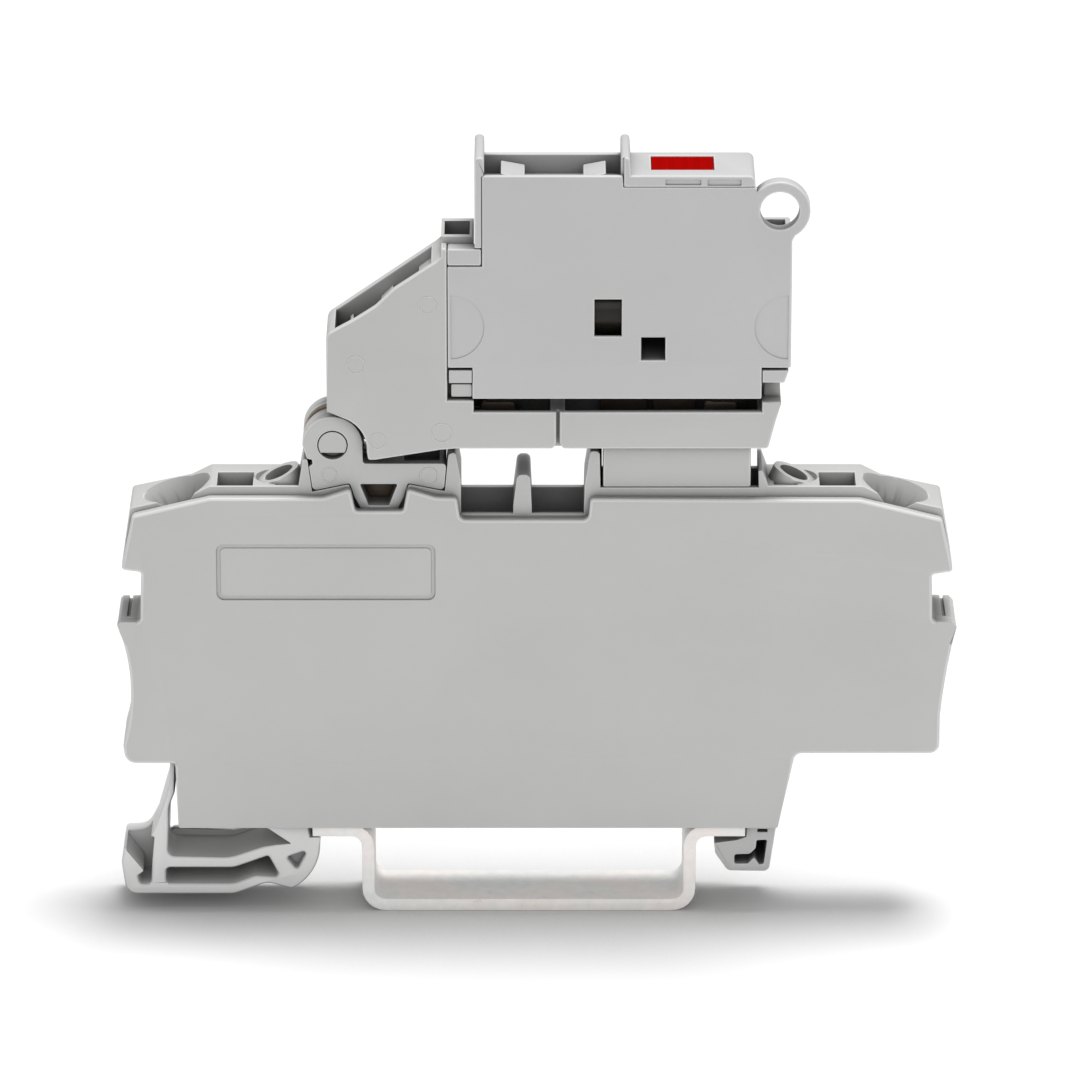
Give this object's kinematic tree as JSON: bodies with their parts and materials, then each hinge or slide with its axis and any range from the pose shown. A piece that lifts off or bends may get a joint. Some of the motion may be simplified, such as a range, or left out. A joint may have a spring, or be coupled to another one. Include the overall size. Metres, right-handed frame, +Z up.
{
  "type": "cartridge fuse holder",
  "caption": "Rail-mounted fuse terminal block: a hinged carrier with a pull-out plug that holds a 5 x 20 mm cartridge fuse, over a housing with push-in clamps.",
  "frame": {"origin": "centre line of the mounting rail, at the upper faces of its flanges and in the middle of the block's width", "axes": "+X across the rail from the hinge end to the knife end, +Y along the rail from the end plate to the closed back, +Z up, away from the rail"},
  "size_m": [0.0672, 0.0062, 0.063],
  "materials": {
    "housing_plastic": "fine-textured light grey moulded polyamide",
    "carrier_plastic": "fine-textured light grey moulded polyamide",
    "plug_plastic": "fine-textured light grey moulded polyamide",
    "contact_copper": "rolled electrolytic copper, bright, lightly tarnished",
    "contact_tinned": "tin-plated copper, satin",
    "spring_steel": "stainless spring strip, satin",
    "cap_nickel": "nickel-plated brass, bright",
    "fuse_glass": "clear glass tube",
    "fuse_wire": "drawn fuse wire",
    "board_green": "glass-fibre circuit board, green solder mask",
    "lens_red": "transparent red polycarbonate",
    "lamp_epoxy": "cast epoxy, water clear with red tint",
    "resistor_ceramic": "coated ceramic chip with tinned ends"
  },
  "bodies": {
    "base": {"terminal_housing": "housing_plastic", "end_plate": "housing_plastic", "hinge_bracket": "housing_plastic", "hinge_blade": "contact_copper", "busbar_left": "contact_copper", "busbar_right": "contact_copper", "clamp_spring_left": "spring_steel", "clamp_spring_right": "spring_steel", "fork_contact_left": "contact_tinned", "fork_contact_right": "contact_tinned"},
    "rail_foot": {"rail_foot": "housing_plastic"},
    "carrier": {"carrier_frame": "carrier_plastic", "carrier_cover": "carrier_plastic", "hinge_pin": "carrier_plastic", "swing_contact": "contact_copper", "contact_shroud": "carrier_plastic", "knife_contact": "contact_copper"},
    "plug": {"plug_body": "plug_plastic", "plug_cover": "plug_plastic", "plug_contact_left": "contact_tinned", "plug_contact_right": "contact_tinned", "fuse_tube": "fuse_glass", "fuse_cap_left": "cap_nickel", "fuse_cap_right": "cap_nickel", "fuse_element": "fuse_wire", "indicator_board": "board_green", "indicator_lens": "lens_red", "indicator_led": "lamp_epoxy", "chip_resistor_1": "resistor_ceramic", "chip_resistor_2": "resistor_ceramic", "chip_resistor_3": "resistor_ceramic", "indicator_lead_left": "contact_tinned", "indicator_lead_right": "contact_tinned"}
  },
  "joints": [
    {"name": "carrier_pivot", "type": "hinge", "parent": "base", "child": "carrier", "pos_m": [-0.0156, 0.0005, 0.0325], "axis": [0, -1, 0], "range_deg": [0, 90]},
    {"name": "plug_pull", "type": "slide", "parent": "carrier", "child": "plug", "axis": [0, 0, 1], "range_m": [0, 0.024]},
    {"name": "rail_foot_flex", "type": "hinge", "parent": "base", "child": "rail_foot", "pos_m": [-0.0289, 0.0005, 0.005], "axis": [0, 1, 0], "range_deg": [0, 5], "stiffness_Nm_per_rad": 0.2}
  ]
}
